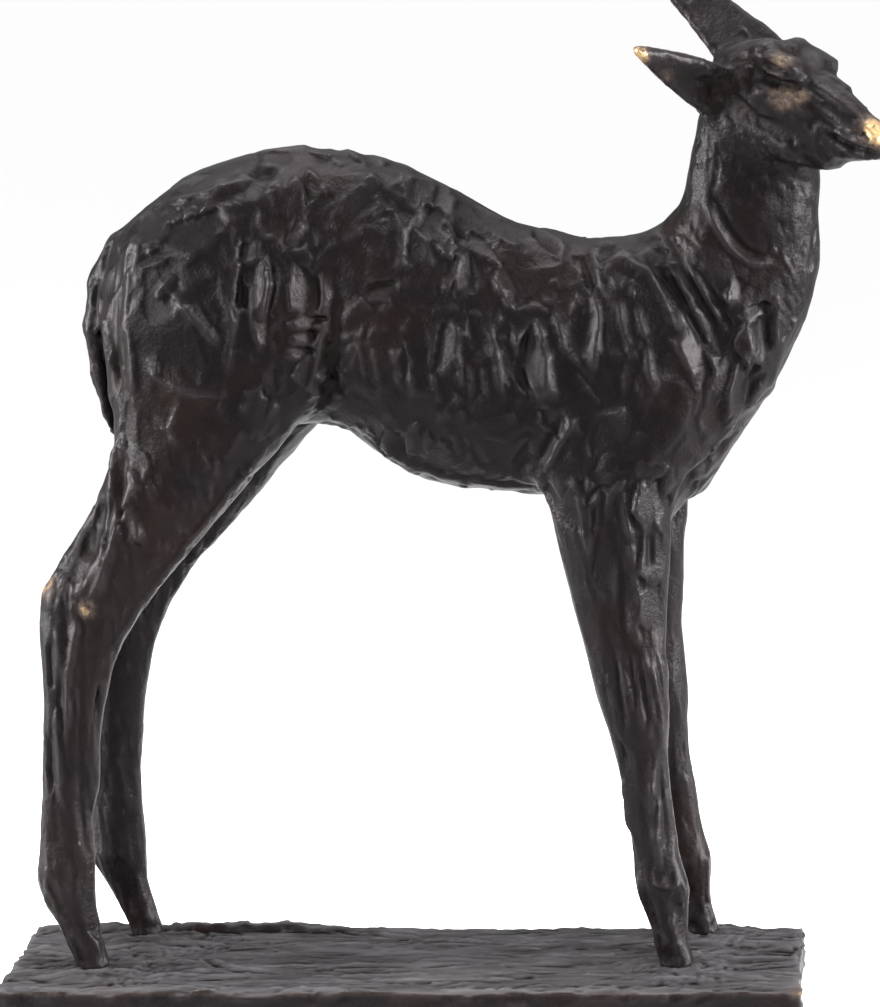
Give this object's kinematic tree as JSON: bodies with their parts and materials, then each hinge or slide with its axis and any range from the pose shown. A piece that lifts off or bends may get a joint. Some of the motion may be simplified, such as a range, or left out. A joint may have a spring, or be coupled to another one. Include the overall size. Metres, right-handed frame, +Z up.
{
  "type": "animal sculpture",
  "caption": "Standing fawn sculpture in dark patinated bronze with its head turned aside, on a thin rectangular hand-modelled plate.",
  "frame": {"origin": "middle of the plate's flat underside, where the sculpture rests", "axes": "+X the way the fawn faces, +Y to the fawn's left, +Z up; the head turns to the fawn's right, towards -Y"},
  "size_m": [0.451, 0.111, 0.509],
  "materials": {
    "bronze": "satin dark brown patina, rubbed golden at the nose, ear tip, cheekbone and hocks",
    "bronze_plate": "satin dark brown patina, rubbed lighter along the front edge"
  },
  "bodies": {
    "root": {"deer": "bronze", "base_plate": "bronze_plate"}
  },
  "joints": []
}
